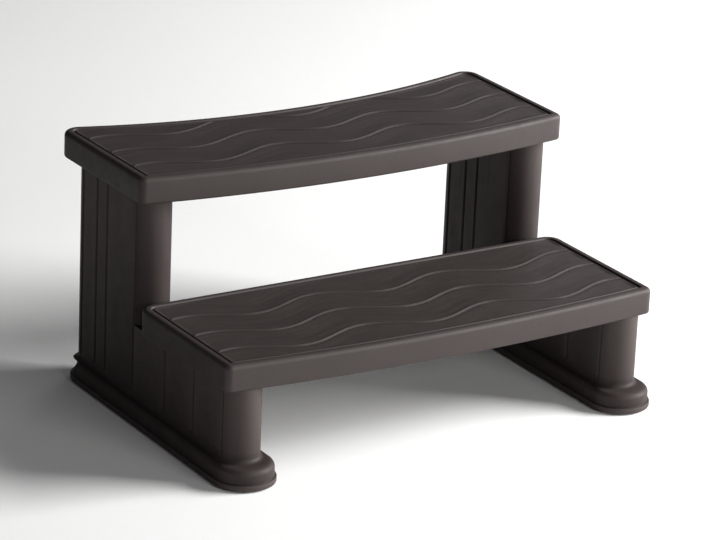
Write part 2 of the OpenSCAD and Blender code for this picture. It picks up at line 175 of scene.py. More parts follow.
# foot pads and vent plugs
PAD_YS = (52 * MM, 264 * MM, 458 * MM)
PAD_HALF_L = 14 * MM
PAD_R = 28.4 * MM
PAD_Z = 4 * MM
PAD_STEM_OFF = 24 * MM
PAD_STEM_R = 4 * MM
PAD_STEM_L = 8 * MM
VENT_R = 6 * MM
VENT_HEAD_R = 10 * MM
VENT_HEAD_H = 1.6 * MM
VENT_DEPTH = 11 * MM
PANEL_VENT = 158 * MM

# hollows under the treads
DIMPLE_L = 74 * MM
DIMPLE_W = 28 * MM
DIMPLE_STEP = 104 * MM
DIMPLE_COLUMNS = 6
DIMPLE_ROWS = (0.31, 0.69)
DIMPLE_DEPTH = 34 * MM
DIMPLE_LIP = 2.5 * MM
DIMPLE_DRAFT = 1.2 * MM
DIMPLE_END_R = 4 * MM

# how far a cutter reaches past the face that it opens
PAST = 1 * MM

# points round cylinders, slots' ends, the treads' edges and dimples, and the angle that a dimple's end turns
PIN_SIDES, SLOT_STEPS = 32, 16
TOP_STEPS, BOTTOM_STEPS = 8, 5
DIMPLE_POINTS, DIMPLE_END_TURN = 4, 80

# angles in degrees over which an edge is drawn sharp
TREAD_SHARP, PANEL_SHARP = 28, 32

LOWER_LOW, LOWER_HIGH = (Vector(c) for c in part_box("lower_tread"))
CORNER_LINE_Y = LOWER_LOW.y + LOWER_BOW
TREAD_T = LOWER_HIGH.z - LOWER_LOW.z


# ---- mesh helpers ----


def arc(cx, cy, r, start, end, steps):
    """Points of an arc between two directions in degrees, both ends included."""
    angles = [math.radians(start + (end - start) * i / steps) for i in range(steps + 1)]
    return [(cx + r * math.cos(a), cy + r * math.sin(a)) for a in angles]


def make_object(name, verts, faces):
    mesh = bpy.data.meshes.new(name)
    mesh.from_pydata(verts, [], faces)
    mesh.validate()
    mesh.update()
    piece = bpy.data.objects.new(name, mesh)
    bpy.context.scene.collection.objects.link(piece)
    return piece


def outward(piece):
    """Makes every face of a closed mesh look outward."""
    bm = bmesh.new()
    bm.from_mesh(piece.data)
    bmesh.ops.recalc_face_normals(bm, faces=bm.faces)
    bm.to_mesh(piece.data)
    bm.free()
    return piece


def bridge(count, lower, upper):
    """Quads between two closed rings of count vertices that start at the given indices."""
    return [
        (lower + i, lower + (i + 1) % count, upper + (i + 1) % count, upper + i) for i in range(count)
    ]


def stack(name, rings):
    """A closed solid through rings of equally many (x, y, z) points, capped at both ends."""
    count = len(rings[0])
    verts = [p for ring in rings for p in ring]
    faces = [f for k in range(len(rings) - 1) for f in bridge(count, k * count, (k + 1) * count)]
    faces.append(tuple(range(count))[::-1])
    faces.append(tuple(range((len(rings) - 1) * count, len(rings) * count)))
    return outward(make_object(name, verts, faces))


def slot_ring(x, y1, y2, r, z, along_x):
    """A slot-shaped ring round x, from y1 to y2. With along_x, y1 and y2 are X positions and x is the Y."""
    flat = arc(0, y1, r, 180, 360, SLOT_STEPS) + arc(0, y2, r, 0, 180, SLOT_STEPS)
    if along_x:
        return [(b, x - a, z) for a, b in flat]
    return [(x + a, b, z) for a, b in flat]


def slot_solid(name, x, y1, y2, profile, along_x=False):
    """A slot-shaped solid whose radius follows profile, a list of (radius, z) from the bottom up."""
    return stack(name, [slot_ring(x, y1, y2, r, z, along_x) for r, z in profile])


def pin(name, x, y, r, z1, z2):
    """An upright cylinder from z1 to z2."""
    flat = arc(x, y, r, 0, 360, PIN_SIDES)[:-1]
    return stack(name, [[(a, b, z) for a, b in flat] for z in (z1, z2)])


def join(pieces):
    """Joins meshes that don't touch into the first of them."""
    bm = bmesh.new()
    for piece in pieces:
        bm.from_mesh(piece.data)
    bm.to_mesh(pieces[0].data)
    bm.free()
    for piece in pieces[1:]:
        bpy.data.objects.remove(piece)
    return pieces[0]


def boolean(piece, tools, operation):
    """Cuts the tools out of piece, or adds them, and deletes them."""
    tool = join(tools)
    modifier = piece.modifiers.new("boolean", "BOOLEAN")
    modifier.operation = operation
    modifier.solver = "MANIFOLD"
    modifier.object = tool
    graph = bpy.context.evaluated_depsgraph_get()
    result = bpy.data.meshes.new_from_object(piece.evaluated_get(graph), depsgraph=graph)
    piece.modifiers.clear()
    piece.data = result
    bpy.data.objects.remove(tool)


def shade(piece, sharp_angle):
    """Smooth shading with sharp edges over an angle in degrees."""
    piece.data.shade_smooth()
    piece.data.set_sharp_from_angle(angle=math.radians(sharp_angle))


# ---- treads ----


class Tread:
    """Plan of one tread in its own frame: X from the middle, Y from the line of its front corners."""

    def __init__(self, node, bow, hollow, depth):
        low, high = (Vector(c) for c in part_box(node))
        self.node, self.hollow, self.depth = node, hollow, depth
        self.half = (high.x - low.x) / 2
        self.y0 = low.y + bow
        self.z0 = low.z
        self.front_r = self.arc_r(bow)
        self.front_c = self.front_r - bow
        if hollow:
            self.back_r = self.arc_r(hollow)
            self.back_c = depth - hollow + self.back_r

    def arc_r(self, rise):
        """Radius of the arc that rises that far over the tread's width."""
        return (2 * self.half) ** 2 / (8 * rise) + rise / 2

    def front_y(self, x):
        return self.front_c - math.sqrt(self.front_r**2 - x * x)

    def back_y(self, x):
        if not self.hollow:
            return self.depth
        return self.back_c - math.sqrt(self.back_r**2 - x * x)

    def chains(self, inset):
        """Front and back edge, both from left to right, moved in by inset."""
        rf = max(FRONT_CORNER_R - inset, LEAST_CORNER_R)
        rb = max(BACK_CORNER_R - inset, LEAST_CORNER_R)
        xf, xb = self.half - inset - rf, self.half - inset - rb
        yf = self.front_c - math.sqrt((self.front_r - inset - rf) ** 2 - xf**2)
        turn_f = math.degrees(math.atan2(yf - self.front_c, xf))
        front = arc(0, self.front_c, self.front_r - inset, -90, turn_f, ACROSS_STEPS)[:-1]
        front += arc(xf, yf, rf, turn_f, 0, CORNER_STEPS)
        if self.hollow:
            yb = self.back_c - math.sqrt((self.back_r + inset + rb) ** 2 - xb**2)
            turn_b = math.degrees(math.atan2(self.back_c - yb, -xb))
            back = arc(0, self.back_c, self.back_r + inset, -90, turn_b - 180, ACROSS_STEPS)[:-1]
        else:
            yb, turn_b = self.depth - inset - rb, 90
            back = [(xb * i / ACROSS_STEPS, self.depth - inset) for i in range(ACROSS_STEPS)]
        back += arc(xb, yb, rb, turn_b, 0, CORNER_STEPS)
        return [[(-x, y) for x, y in chain[:0:-1]] + chain for chain in (front, back)]

    def loop(self, inset):
        """The whole outline as one closed ring: front, right end, back and left end."""
        front, back = self.chains(inset)

        def side(a, b):
            return [(a[0], a[1] + (b[1] - a[1]) * j / DEPTH_STEPS) for j in range(1, DEPTH_STEPS)]

        return front + side(front[-1], back[-1]) + back[::-1] + side(back[0], front[0])


def edge_profile():
    """(inset, z) down from the edge of the field, over the rim and round the side, to the underside."""
    field, floor, top = TREAD_T - RIDGE_H, TREAD_T - RIM_GROOVE_D, TREAD_T
    inner, outer = RIM_W + RIM_GROOVE_W, RIM_W

    def rounded(wall, level, offsets):
        return [(wall + a * MM, level + b * MM) for a, b in offsets]

    return (
        rounded(inner, field, FIELD_EDGE)
        + rounded(inner, floor, GROOVE_FIELD_SIDE)
        + rounded(outer, floor, GROOVE_RIM_SIDE)
        + rounded(outer, top, RIM_EDGE)
        + [(TOP_ROUND - b, top - TOP_ROUND + a) for b, a in arc(0, 0, TOP_ROUND, 90, 0, TOP_STEPS)]
        + [(BOTTOM_ROUND - b, BOTTOM_ROUND + a) for b, a in arc(0, 0, BOTTOM_ROUND, 0, -90, BOTTOM_STEPS)]
    )


def field_height(tread, x, y, room):
    """Height of the field over its own level at the points x, y, which lie room from the field's edge: wavy
    ridges, each with a valley in front, a slight cupping between them, and long shallow streaks."""
    k = 2 * math.pi / WAVE_L
    along = y - RIDGE_FIRST + WAVE_A * np.cos(k * x)
    lean = 1 / np.sqrt(1 + (WAVE_A * k * np.sin(k * x)) ** 2)
    offsets = [(along - row * RIDGE_STEP) * lean for row in range(RIDGE_ROWS)]
    ridges = sum(np.exp(-np.abs(d / RIDGE_W) ** RIDGE_FULLNESS) for d in offsets)
    valleys = sum(np.exp(-(((d + VALLEY_OFF) / VALLEY_W) ** 2)) for d in offsets)
    cups = 0.5 - 0.5 * np.cos(2 * math.pi * along / RIDGE_STEP)

    def streak(a, b):
        broad_place = (a * BROAD_STREAK[0], b * BROAD_STREAK[1], tread.z0 * BROAD_SLICE_PER_METRE)
        fine_place = (a * FINE_STREAK[0], b * FINE_STREAK[1], FINE_STREAK_SLICE)
        return noise.noise(Vector(broad_place)) + FINE_STREAK_SHARE * noise.noise(Vector(fine_place))

    streaks = np.array([streak(a, b) for a, b in zip(x.tolist(), along.tolist())])
    fade = np.clip(room / RIDGE_FADE, 0, 1)
    fade = fade * fade * (3 - 2 * fade)
    return fade * (RIDGE_H * ridges - VALLEY_D * valleys - CUP_D * cups + STREAK_H * streaks * (1 - ridges))


def tread_mesh(tread):
    """The closed outer skin of a tread: rings round the edge, a fine field on top and a flat underside."""
    profile = edge_profile()
    field_inset = profile[0][0]
    front, back = (np.array(c) for c in tread.chains(field_inset))
    share = np.linspace(0, 1, DEPTH_STEPS + 1)[None, :, None]
    field = front[:, None, :] * (1 - share) + back[:, None, :] * share
    x, y = field[..., 0].ravel(), field[..., 1].ravel()
    room = np.minimum.reduce(
        [
            tread.half - field_inset - np.abs(x),
            (field[..., 1] - front[:, None, 1]).ravel(),
            (back[:, None, 1] - field[..., 1]).ravel(),
        ]
    )
    z = TREAD_T - RIDGE_H + field_height(tread, x, y, room)
    verts = list(zip(x.tolist(), y.tolist(), z.tolist()))
    columns, rows = len(front), DEPTH_STEPS + 1

    def cell(i, j):
        return i * rows + j

    faces = [
        (cell(i, j), cell(i + 1, j), cell(i + 1, j + 1), cell(i, j + 1))
        for i in range(columns - 1)
        for j in range(rows - 1)
    ]
    last = columns - 1
    edge = [cell(i, 0) for i in range(columns)] + [cell(last, j) for j in range(1, rows - 1)]
    edge += [cell(i, rows - 1) for i in range(last, -1, -1)] + [cell(0, j) for j in range(rows - 2, 0, -1)]
    count = len(edge)
    previous = edge
    for inset, height in profile[1:]:
        ring = list(range(len(verts), len(verts) + count))
        verts += [(px, py, height) for px, py in tread.loop(inset)]
        faces += [
            (previous[(i + 1) % count], previous[i], ring[i], ring[(i + 1) % count]) for i in range(count)
        ]
        previous = ring
    faces.append(tuple(previous)[::-1])
    piece = make_object(tread.node + "_skin", [(a, b + tread.y0, c + tread.z0) for a, b, c in verts], faces)
    return outward(piece)


def dimple_tools(tread):
    """Cutters for the hollows under a tread, each with a rounded lip and a rounded end."""
    r, z = DIMPLE_W / 2, tread.z0
    profile = [(r + DIMPLE_LIP, z - PAST)]
    profile += arc(r + DIMPLE_LIP, z + DIMPLE_LIP, DIMPLE_LIP, 270, 180, DIMPLE_POINTS)
    end_r, end_z = r - DIMPLE_DRAFT - DIMPLE_END_R, z + DIMPLE_DEPTH - DIMPLE_END_R
    end = arc(0, 0, DIMPLE_END_R, 0, DIMPLE_END_TURN, DIMPLE_POINTS)
    profile += [(end_r + a, end_z + b) for a, b in end]
    reach = (DIMPLE_L - DIMPLE_W) / 2
    tools = []
    for column in range(DIMPLE_COLUMNS):
        x = (column - (DIMPLE_COLUMNS - 1) / 2) * DIMPLE_STEP
        for row in DIMPLE_ROWS:
            y = tread.y0 + tread.front_y(x) + row * (tread.back_y(x) - tread.front_y(x))
            tools.append(slot_solid("dimple", y, x - reach, x + reach, profile, along_x=True))
    return tools


def middle_x(node):
    """X of the middle of a node's box."""
    return sum(c.x for c in map(Vector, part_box(node))) / 2


def build_tread(tread, tenon, screws):
    """A tread with its dimples, tenon sockets, insert holes and vent."""
    piece = tread_mesh(tread)
    panels = [middle_x(node) for node in ("left_side_panel", "right_side_panel")]
    vent = (0.0, tread.y0 + (tread.front_y(0) + tread.back_y(0)) / 2)
    z = tread.z0
    socket_top = z + TENON_H + TENON_GAP
    socket = [(TENON_R + TENON_GAP, z - PAST), (TENON_R + TENON_GAP, socket_top)]
    tools = dimple_tools(tread)
    tools += [
        slot_solid("socket", x, CORNER_LINE_Y + tenon[0], CORNER_LINE_Y + tenon[1], socket) for x in panels
    ]
    tools.append(pin("vent", *vent, VENT_HEAD_R, z - PAST, z + VENT_HEAD_H))
    boolean(piece, tools, "DIFFERENCE")
    holes = [
        pin("hole", x, CORNER_LINE_Y + y, INSERT_R, z + TENON_H, socket_top + INSERT_L)
        for x in panels
        for y in screws
    ]
    holes.append(pin("vent", *vent, VENT_R, z, z + VENT_DEPTH))
    boolean(piece, holes, "DIFFERENCE")
    shade(piece, TREAD_SHARP)
    return piece


# ---- side panels ----


def groove_cut(y, grooves):
    """How deep the plank grooves go at y."""
    cut = 0.0
    for g in grooves:
        t = abs(y - g) / GROOVE_HALF_W
        if t < 1:
            cut = max(cut, GROOVE_D * (0.5 + 0.5 * math.cos(math.pi * t)) ** GROOVE_FULLNESS)
    return cut


def arc_x(y, centre):
    """Half width at y of a round post at centre."""
    return math.sqrt(max(POST_R**2 - (y - centre) ** 2, 0.0))


def with_grooves(ys, grooves, low, high):
    """Adds fine steps across each groove to a list of Y positions, between low and high."""
    shares = range(-GROOVE_STEPS, GROOVE_STEPS + 1)
    steps = [g + GROOVE_HALF_W * s / GROOVE_STEPS for g in grooves for s in shares]
    kept = [y for y in ys if all(abs(y - g) > GROOVE_HALF_W * GROOVE_CLEAR for g in grooves)]
    return sorted(set(round(y, 7) for y in kept + steps if low <= y <= high))


def side_rows():
    """Y positions of the outline's points along one side: the low front, the tower's front and the rear."""
    grooves = LOW_GROOVES + TALL_GROOVES
    split = TALL_GROOVES[0]
    quarter = [90 * i / POST_STEPS for i in range(POST_STEPS + 1)]
    low = [FRONT_POST - POST_R * math.sin(math.radians(a)) for a in quarter]
    low += [FRONT_POST + LOW_STEP * i for i in range(1, LOW_ROWS + 1)]
    low = [y for y in with_grooves(low, grooves, FRONT_POST - POST_R, split) if y < split]
    tower = [MIDDLE_POST - POST_R * math.sin(math.radians(a)) for a in quarter]
    tower = [y for y in with_grooves(tower, TALL_GROOVES, MIDDLE_POST - POST_R, split) if y < split]
    rear = [MIDDLE_POST + TALL_STEP * i for i in range(TALL_ROWS)]
    rear += [REAR_POST + POST_R * math.sin(math.radians(a)) for a in quarter]
    rear = with_grooves(rear, grooves, split, REAR_POST + POST_R)
    return low, tower, rear


def wall_x(y, front_centre, grooves, fade):
    """Half width of the panel at y, with its rounded posts and plank grooves."""
    x = POST_R
    if y < front_centre:
        x = arc_x(y, front_centre)
    if y > REAR_POST:
        x = arc_x(y, REAR_POST)
    if front_centre == FRONT_POST and TALL_GROOVES[0] <= y < MIDDLE_POST:
        x = arc_x(y, MIDDLE_POST)
    return min(x, POST_R - fade * groove_cut(y, grooves))


def foot_point(y, half, clip=None):
    """Where the outline's point at y lies on a slot with that half width: the foot's slot, or, with clip, the
    flare's, which stays inside the shoulder's rear end."""
    foot_end = FOOT_LENGTH - FOOT_REACH - FOOT_HALF
    first, last = (FRONT_POST, REAR_POST) if clip else (FOOT_HALF - FOOT_REACH, foot_end)
    if y <= FRONT_POST:
        a = math.asin(min((FRONT_POST - y) / POST_R, 1))
        return half * math.cos(a), first - half * math.sin(a)
    if y >= REAR_POST:
        a = math.asin(min((y - REAR_POST) / POST_R, 1))
        r = min(half, clip - (REAR_POST - foot_end) * math.sin(a)) if clip else half
        return r * math.cos(a), last + r * math.sin(a)
    return half, first + (y - FRONT_POST) * (last - first) / (REAR_POST - FRONT_POST)


def foot_levels():
    """(half width, z, on the foot?) from the sole to the end of the flare."""
    body = FOOT_HALF - BAND_STEP
    edge, middle = BAND_EDGE, BAND_EDGE_MIDDLE
    levels = [(FOOT_HALF - edge, SOLE_Z), (FOOT_HALF - middle, SOLE_Z + middle), (FOOT_HALF, SOLE_Z + edge)]
    levels += [(FOOT_HALF, BAND_H - edge), (FOOT_HALF - middle, BAND_H - middle), (FOOT_HALF - edge, BAND_H)]
    levels += [(body + a, BAND_H + b) for a, b in STEP_ROUND]
    levels += arc(body - SHOULDER_R, FOOT_TOP - SHOULDER_R, SHOULDER_R, 0, SHOULDER_END, LEVEL_STEPS)
    flare = arc(POST_R + FLARE_R, FOOT_TOP + FLARE_R, FLARE_R, FLARE_START, -180, LEVEL_STEPS)
    return [(r, z, True) for r, z in levels] + [(r, z, False) for r, z in flare]


def panel_rings(side, under):
    """Closed rings from the sole over the foot and the flare, and up the walls to the height under."""
    ring_ys = side + side[-2:0:-1]
    signs = [1] * len(side) + [-1] * (len(side) - 2)
    grooves = LOW_GROOVES + TALL_GROOVES
    clip = FOOT_HALF - BAND_STEP - FLARE_INSIDE

    def foot_ring(half, z, on_foot):
        ring = []
        for y, s in zip(ring_ys, signs):
            px, py = foot_point(y, half) if on_foot else foot_point(y, half, clip)
            if on_foot and z > SHOULDER_FROM and y > REAR_POST:
                # the shoulder never falls in front of the rear post
                post_x, post_y = foot_point(y, POST_R, clip)
                if post_y > py:
                    px, py = post_x, post_y
            ring.append((s * px, py, z))
        return ring

    def wall_ring(z, fade):
        return [(s * wall_x(y, FRONT_POST, grooves, fade), y, z) for y, s in zip(ring_ys, signs)]

    rings = [foot_ring(*level) for level in foot_levels()]
    flare_top = FOOT_TOP + FLARE_R
    rings += [wall_ring(flare_top + rise * MM, fade) for rise, fade in GROOVE_START]
    rings.append(wall_ring(under, 1))
    return rings


def build_panel(name, node, inner):
    """A side panel; inner is 1 if its inner face looks towards +X and -1 if towards -X."""
    panel_x = middle_x(node)
    lower_under, upper_under = LOWER_LOW.z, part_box("upper_tread")[0][2]
    low, tower, rear = side_rows()
    rings = panel_rings(low + rear, lower_under)
    count = len(rings[0])
    verts = [p for ring in rings for p in ring]
    faces = [f for k in range(len(rings) - 1) for f in bridge(count, k * count, (k + 1) * count)]
    faces.append(tuple(range(count))[::-1])
    # the ledge in front of the tower
    top = (len(rings) - 1) * count
    right_low = [top + i for i in range(len(low))]
    left_low = [top + count - i for i in range(1, len(low))]
    back = list(range(top + len(low), top + count - len(low) + 1))
    first = len(verts)
    tower_side = [(wall_x(y, MIDDLE_POST, TALL_GROOVES, 1), y) for y in tower]
    verts += [(x, y, lower_under) for x, y in tower_side] + [(-x, y, lower_under) for x, y in tower_side[1:]]
    right_front = [first + i for i in range(len(tower))]
    left_front = [first] + [first + len(tower) + i for i in range(len(tower) - 1)]
    ledge = left_low[::-1] + right_low + [back[0]]
    ledge += right_front[::-1] + left_front[1:] + [back[-1]]
    faces.append(tuple(ledge))
    # the tower, up to the upper tread
    tower_ring = right_front + back + left_front[:0:-1]
    around, lift = len(tower_ring), len(verts)
    verts += [(verts[v][0], verts[v][1], upper_under) for v in tower_ring]
    for i in range(around):
        after = (i + 1) % around
        faces.append((tower_ring[i], tower_ring[after], lift + after, lift + i))
    faces.append(tuple(range(lift, lift + around)))
    placed = [(x + panel_x, y + CORNER_LINE_Y, z) for x, y, z in verts]
    piece = outward(make_object(name, placed, faces))
    finish_panel(piece, panel_x, inner, (lower_under, upper_under))
    shade(piece, PANEL_SHARP)
    return piece


def rounded_box(name, low, high, r):
    """A box with all edges rounded."""
    bm = bmesh.new()
    bmesh.ops.create_cube(bm, size=1)
    size = Vector(high) - Vector(low)
    for v in bm.verts:
        v.co = Vector(low) + Vector((a + 0.5) * b for a, b in zip(v.co, size))
    bmesh.ops.bevel(bm, geom=bm.edges[:], offset=r, segments=3, profile=0.5, affect="EDGES")
    mesh = bpy.data.meshes.new(name)
    bm.to_mesh(mesh)
    bm.free()
    piece = bpy.data.objects.new(name, mesh)
    bpy.context.scene.collection.objects.link(piece)
    return piece


def finish_panel(piece, x, inner, tops):
    """Adds the tenons and cuts the screw pockets, the screw holes, the pads' seats and the vent."""
    y0 = CORNER_LINE_Y
    tenons, pockets, holes = [], [], []
    for z, tenon, screws in zip(tops, (LOWER_TENON, UPPER_TENON), (LOWER_SCREWS, UPPER_SCREWS)):
        profile = [(TENON_R, z - TENON_ROOT), (TENON_R, z + TENON_H - TENON_CHAMFER)]
        profile.append((TENON_R - TENON_CHAMFER, z + TENON_H))
        tenons.append(slot_solid("tenon", x, y0 + tenon[0], y0 + tenon[1], profile))
        roof = z - POCKET_ROOF
        for y in screws:
            ends = sorted((x - inner * POCKET_PAST_MIDDLE, x + inner * (POST_R + POCKET_PAST_FACE)))
            low = (ends[0], y0 + y - POCKET_W / 2, roof - POCKET_H)
            high = (ends[1], y0 + y + POCKET_W / 2, roof)
            pockets.append(rounded_box("pocket", low, high, POCKET_ROUND))
            holes.append(pin("hole", x, y0 + y, SCREW_HOLE_R, roof - PAST, z + TENON_H + PAST))
    boolean(piece, tenons, "UNION")
    seats, stems = [], []
    for y in PAD_YS:
        seat = [(PAD_R, -PAST), (PAD_R, PAD_Z)]
        seats.append(slot_solid("seat", x, y0 + y - PAD_HALF_L, y0 + y + PAD_HALF_L, seat))
        for off in (-PAD_STEM_OFF, PAD_STEM_OFF):
            stems.append(pin("stem", x, y0 + y + off, PAD_STEM_R, PAD_Z - PAST, PAD_Z + PAD_STEM_L))
    seats.append(pin("vent", x, y0 + PANEL_VENT, VENT_HEAD_R, -PAST, SOLE_Z + VENT_HEAD_H))
    stems.append(pin("vent", x, y0 + PANEL_VENT, VENT_R, SOLE_Z, SOLE_Z + VENT_DEPTH))
    boolean(piece, pockets + seats, "DIFFERENCE")
    boolean(piece, holes + stems, "DIFFERENCE")


# ---- materials ----

# the brown plastic: its two shades, the specks and grain in it, its rubbed edges, and the painted shade laid
# into its crevices
ESPRESSO_DARK, ESPRESSO_LIGHT = (0.0275, 0.0210, 0.0198), (0.0365, 0.0282, 0.0264)
SPECK, GRAIN = (0.050, 0.040, 0.0375), (0.060, 0.049, 0.0455)
# the near-black crevice colour is painted shade, mixed into creases and hollows
CREVICE_PAINTED_SHADE, WORN = (0.010, 0.008, 0.0075), (0.095, 0.079, 0.073)
STEEL_DARK, STEEL_LIGHT = (0.46, 0.46, 0.47), (0.62, 0.62, 0.63)
BRASS_DARK, BRASS_LIGHT = (0.48, 0.34, 0.12), (0.68, 0.52, 0.22)
RUBBER, BLOOM = (0.014, 0.014, 0.014), (0.034, 0.033, 0.032)
FLOOR_DARK, FLOOR_LIGHT = (0.87, 0.87, 0.86), (0.90, 0.90, 0.89)

# the pebbled skin with its lumps and wood grain, and how high the bumps of the other skins stand
PEBBLE_SIZE = 0.9 * MM
PEBBLE_HEIGHT = 0.09 * MM
PEBBLE_SMOOTHNESS = 0.6
LUMP_SHARE, GRAIN_SHARE = 0.8, 2.4
TURNING_HEIGHT = 0.02 * MM
RUBBER_HEIGHT = 0.05 * MM

# ranges: all of a mask, and the part of a noise's values in which most of them lie
FULL = (0, 1)
MIDDLE = (0.3, 0.7)


class Nodes:
    """Short words for building a material's node tree."""

    def __init__(self, name):
        self.material = bpy.data.materials.new(name)
        self.material.use_nodes = True
        self.tree = self.material.node_tree
        self.shader = self.tree.nodes["Principled BSDF"]
        self.place = self.tree.nodes.new("ShaderNodeTexCoord").outputs["Object"]

    def node(self, kind, **values):
        made = self.tree.nodes.new(kind)
        for key, value in values.items():
            setattr(made, key, value)
        return made

    def link(self, source, target):
        self.tree.links.new(source, target)

    def math(self, operation, a, b=None, c=None):
        made = self.node("ShaderNodeMath", operation=operation)
        for socket, value in zip(made.inputs, (a, b, c)):
            if value is None:
                continue
            if isinstance(value, (int, float)):
                socket.default_value = value
            else:
                self.link(value, socket)
        return made.outputs[0]

    def noise(self, scale, detail, roughness=0.5, place=None, stretch=None):
        made = self.node("ShaderNodeTexNoise")
        made.inputs["Scale"].default_value = scale
        made.inputs["Detail"].default_value = detail
        made.inputs["Roughness"].default_value = roughness
        source = place or self.place
        if stretch:
            mapping = self.node("ShaderNodeMapping")
            mapping.inputs["Scale"].default_value = stretch
            self.link(source, mapping.inputs["Vector"])
            source = mapping.outputs[0]
        self.link(source, made.inputs["Vector"])
        return made.outputs["Fac"]

    def pebbles(self, size):
        made = self.node("ShaderNodeTexVoronoi", feature="SMOOTH_F1")
        made.inputs["Scale"].default_value = 1 / size
        made.inputs["Smoothness"].default_value = PEBBLE_SMOOTHNESS
        self.link(self.place, made.inputs["Vector"])
        return made.outputs["Distance"]

    def remap(self, value, source, target):
        """Moves value from one range to another; it stays inside the target range."""
        made = self.node("ShaderNodeMapRange")
        self.link(value, made.inputs["Value"])
        for key, number in zip(("From Min", "From Max", "To Min", "To Max"), source + target):
            made.inputs[key].default_value = number
        return made.outputs["Result"]

    def mix(self, factor, dark, light):
        """A colour between dark and light. Sockets 6 and 7 and output 2 are the node's colour ones."""
        made = self.node("ShaderNodeMix", data_type="RGBA")
        self.link(factor, made.inputs["Factor"])
        for socket, colour in ((made.inputs[6], dark), (made.inputs[7], light)):
            if isinstance(colour, tuple):
                socket.default_value = (*colour, 1)
            else:
                self.link(colour, socket)
        return made.outputs[2]

    def colour(self, source):
        self.link(source, self.shader.inputs["Base Color"])

    def roughness(self, source):
        self.link(source, self.shader.inputs["Roughness"])

    def bump(self, height, distance, strength):
        made = self.node("ShaderNodeBump")
        made.inputs["Strength"].default_value = strength
        made.inputs["Distance"].default_value = distance
        self.link(height, made.inputs["Height"])
        self.link(made.outputs["Normal"], self.shader.inputs["Normal"])


def espresso_plastic(name, streaked, specular):
    """Dark brown moulded polyethylene: a pebbled skin, faint clouding, rubbed edges, and painted shade that
    darkens the crevices.
    With streaked, a fine wood grain follows the waves of the tread tops."""
    n = Nodes(name)
    n.shader.inputs["IOR"].default_value = 1.5
    n.shader.inputs["Specular IOR Level"].default_value = specular
    clouds = n.noise(scale=9, detail=3)
    surface = n.node("ShaderNodeNewGeometry")
    facing = n.node("ShaderNodeSeparateXYZ")
    n.link(surface.outputs["Normal"], facing.inputs[0])
    # undersides have long flat triangles, over which pointiness would smear
    handled = n.remap(facing.outputs["Z"], (-0.9, -0.5), FULL)
    pointiness = surface.outputs["Pointiness"]
    worn = n.math("MULTIPLY", n.remap(pointiness, (0.505, 0.56), (0, 0.35)), handled)
    # painted shade: where pointiness is low, in creases and hollows, the colour is darkened towards
    # near-black
    crevice_painted_shade = n.math("MULTIPLY", n.remap(pointiness, (0.44, 0.495), (0.7, 0)), handled)
    base = n.mix(clouds, ESPRESSO_DARK, ESPRESSO_LIGHT)
    specks = n.remap(n.noise(scale=420, detail=2), (0.55, 0.75), (0, 0.4))
    base = n.mix(specks, base, SPECK)
    lumps = n.math("MULTIPLY", n.noise(scale=260, detail=2), LUMP_SHARE)
    height = n.math("ADD", n.pebbles(PEBBLE_SIZE), lumps)
    if streaked:
        parts = n.node("ShaderNodeSeparateXYZ")
        n.link(n.place, parts.inputs[0])
        wave = n.math("COSINE", n.math("MULTIPLY", parts.outputs["X"], 2 * math.pi / WAVE_L))
        across = n.math("MULTIPLY_ADD", wave, WAVE_A, parts.outputs["Y"])
        grain_place = n.node("ShaderNodeCombineXYZ")
        n.link(parts.outputs["X"], grain_place.inputs["X"])
        n.link(across, grain_place.inputs["Y"])
        grain = n.noise(scale=1, detail=4, roughness=0.6, place=grain_place.outputs[0], stretch=(9, 420, 1))
        top = n.remap(facing.outputs["Z"], (0.7, 0.95), FULL)
        height = n.math("ADD", height, n.math("MULTIPLY", n.math("MULTIPLY", grain, top), GRAIN_SHARE))
        grain_colour = n.math("MULTIPLY", n.remap(grain, (0.5, 0.75), (0, 0.5)), top)
        base = n.mix(grain_colour, base, GRAIN)
    # lays the painted shade into the crevices
    base = n.mix(crevice_painted_shade, base, CREVICE_PAINTED_SHADE)
    n.colour(n.mix(worn, base, WORN))
    n.roughness(n.remap(n.noise(scale=38, detail=4, roughness=0.65), MIDDLE, (0.50, 0.64)))
    n.bump(height, PEBBLE_HEIGHT, strength=0.75)
    return n.material


def steel():
    """Plain stainless with faint turning marks."""
    n = Nodes("stainless_steel")
    n.shader.inputs["Metallic"].default_value = 1.0
    marks = n.noise(scale=1, detail=3, roughness=0.6, stretch=(60, 60, 4000))
    n.colour(n.mix(marks, STEEL_DARK, STEEL_LIGHT))
    n.roughness(n.remap(marks, MIDDLE, (0.24, 0.42)))
    n.bump(marks, TURNING_HEIGHT, strength=0.5)
    return n.material


def brass():
    """Turned brass, a little dull in patches."""
    n = Nodes("turned_brass")
    n.shader.inputs["Metallic"].default_value = 1.0
    patches = n.noise(scale=300, detail=3)
    n.colour(n.mix(patches, BRASS_DARK, BRASS_LIGHT))
    n.roughness(n.remap(patches, MIDDLE, (0.28, 0.48)))
    n.bump(n.noise(scale=1, detail=2, stretch=(80, 80, 3000)), TURNING_HEIGHT, strength=0.5)
    return n.material


def rubber(name, grain_size):
    """Black moulded rubber with a fine matt grain and a trace of bloom."""
    n = Nodes(name)
    bloom = n.noise(scale=120, detail=4, roughness=0.6)
    n.colour(n.mix(n.remap(bloom, (0.45, 0.75), FULL), RUBBER, BLOOM))
    n.roughness(n.remap(bloom, MIDDLE, (0.62, 0.8)))
    n.bump(n.pebbles(grain_size), RUBBER_HEIGHT, strength=0.7)
    return n.material


def set_material(piece, material):
    piece.data.materials.clear()
    piece.data.materials.append(material)


# ---- studio ----

# the photographed viewing angle: where the camera stands round the object, and its lean
CAMERA_AZIMUTH, CAMERA_ELEVATION, CAMERA_LEAN = -32.57, 20.17, 2.54
CAMERA_DISTANCE = 6.07
